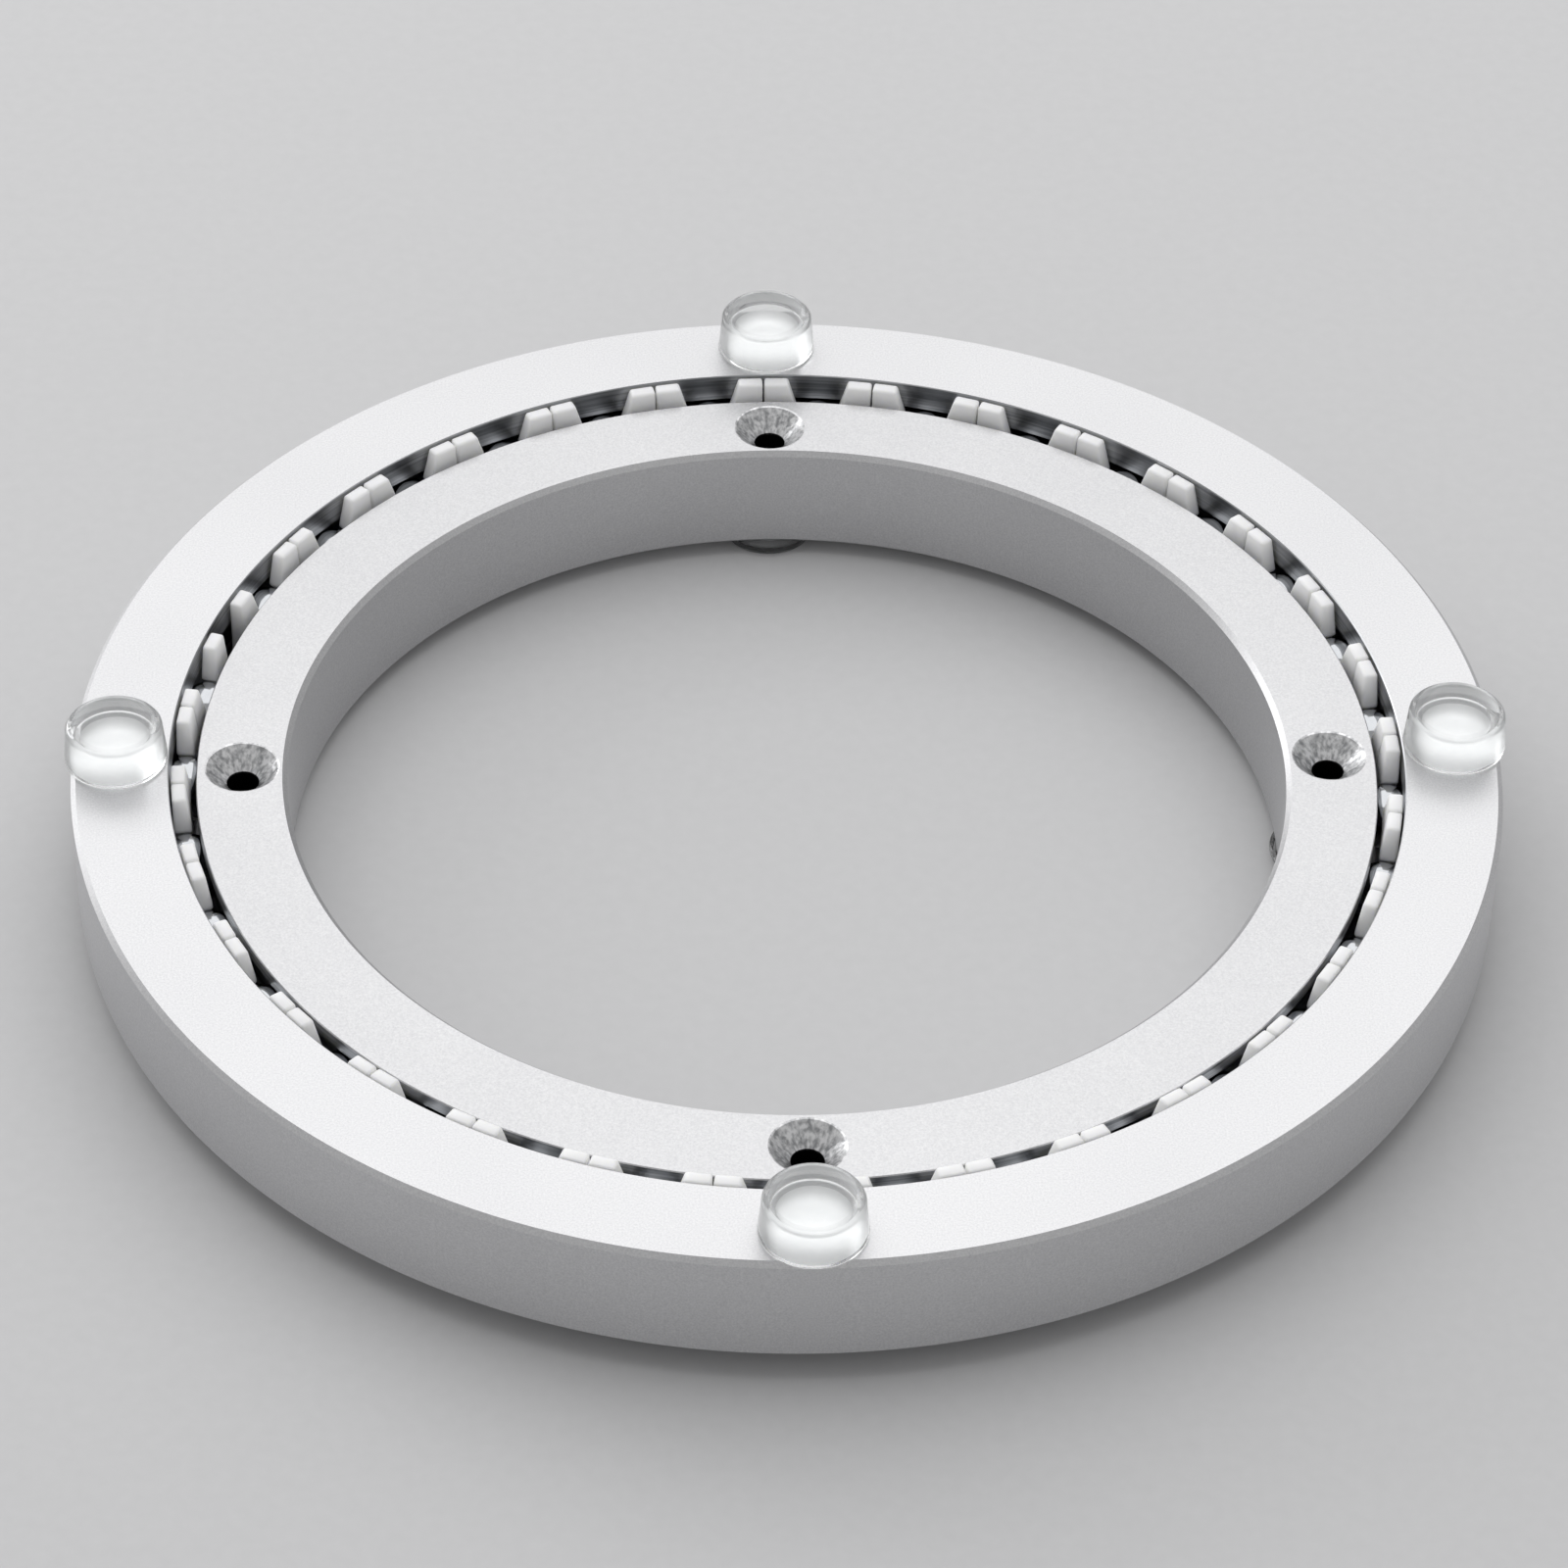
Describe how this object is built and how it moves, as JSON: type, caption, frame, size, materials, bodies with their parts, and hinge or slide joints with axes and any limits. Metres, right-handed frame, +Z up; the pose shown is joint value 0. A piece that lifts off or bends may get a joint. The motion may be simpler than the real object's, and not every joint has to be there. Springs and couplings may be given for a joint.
{
  "type": "lazy susan bearing",
  "caption": "Flat ring-in-ring aluminium turntable bearing with caged steel balls, countersunk screw holes and clear non-slip pads, turns a board freely on a base.",
  "frame": {"origin": "on the turning axis, at the underside of the foot pads", "axes": "+Z up along the turning axis, +X to the right through a screw hole, +Y away from the viewer through a screw hole"},
  "size_m": [0.1414, 0.1414, 0.019],
  "materials": {
    "inner_aluminium": "satin",
    "outer_aluminium": "satin",
    "clear_silicone": "clear gloss",
    "white_nylon": "satin",
    "polished_steel": "polished"
  },
  "bodies": {
    "base": {"inner_ring": "inner_aluminium", "foot_pad_right": "clear_silicone", "foot_pad_back": "clear_silicone", "foot_pad_left": "clear_silicone", "foot_pad_front": "clear_silicone"},
    "turntable": {"outer_ring": "outer_aluminium", "top_pad_right": "clear_silicone", "top_pad_back": "clear_silicone", "top_pad_left": "clear_silicone", "top_pad_front": "clear_silicone"},
    "ball_train": {"cage_link_01": "white_nylon", "cage_link_02": "white_nylon", "cage_link_03": "white_nylon", "cage_link_04": "white_nylon", "cage_link_05": "white_nylon", "cage_link_06": "white_nylon", "cage_link_07": "white_nylon", "cage_link_08": "white_nylon", "cage_link_09": "white_nylon", "cage_link_10": "white_nylon", "cage_link_11": "white_nylon", "cage_link_12": "white_nylon", "cage_link_13": "white_nylon", "cage_link_14": "white_nylon", "cage_link_15": "white_nylon", "cage_link_16": "white_nylon", "cage_link_17": "white_nylon", "cage_link_18": "white_nylon", "cage_link_19": "white_nylon", "cage_link_20": "white_nylon", "cage_link_21": "white_nylon", "cage_link_22": "white_nylon", "cage_link_23": "white_nylon", "cage_link_24": "white_nylon", "cage_link_25": "white_nylon", "cage_link_26": "white_nylon", "cage_link_27": "white_nylon", "cage_link_28": "white_nylon", "cage_link_29": "white_nylon", "cage_link_30": "white_nylon", "cage_link_31": "white_nylon", "cage_link_32": "white_nylon", "steel_balls": "polished_steel"}
  },
  "joints": [
    {"name": "turntable_spin", "type": "hinge", "parent": "base", "child": "turntable", "pos_m": [0, 0, 0], "axis": [0, 0, 1], "continuous": true},
    {"name": "ball_train_roll", "type": "hinge", "parent": "base", "child": "ball_train", "pos_m": [0, 0, 0], "axis": [0, 0, 1], "continuous": true}
  ],
  "couplings": [
    {"joint": "ball_train_roll", "follows": "turntable_spin", "ratio": 0.5268}
  ]
}
